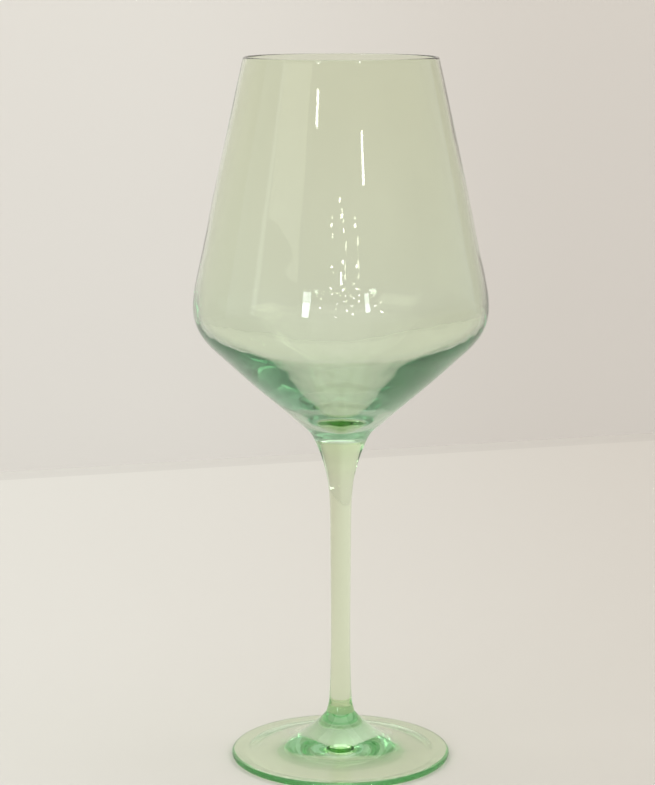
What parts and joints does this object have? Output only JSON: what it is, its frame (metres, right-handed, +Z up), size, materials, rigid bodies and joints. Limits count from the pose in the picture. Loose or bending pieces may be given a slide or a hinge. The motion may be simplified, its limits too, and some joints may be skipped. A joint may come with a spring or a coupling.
{
  "type": "wine glass",
  "caption": "Stemmed wine glass in pale green glass: tall tapered bowl with a low angular belly, slim drawn stem and a round spun foot.",
  "frame": {"origin": "centre of the circle the foot stands on, on the glass's axis", "axes": "+Z up along the axis of revolution, from foot to rim; X and Y are alike"},
  "size_m": [0.0948, 0.0948, 0.2289],
  "materials": {
    "bowl_glass": "polished, pale green tint",
    "stem_glass": "polished, pale green tint",
    "foot_glass": "polished, pale green tint"
  },
  "bodies": {
    "root": {"bowl": "bowl_glass", "stem": "stem_glass", "foot": "foot_glass"}
  },
  "joints": []
}
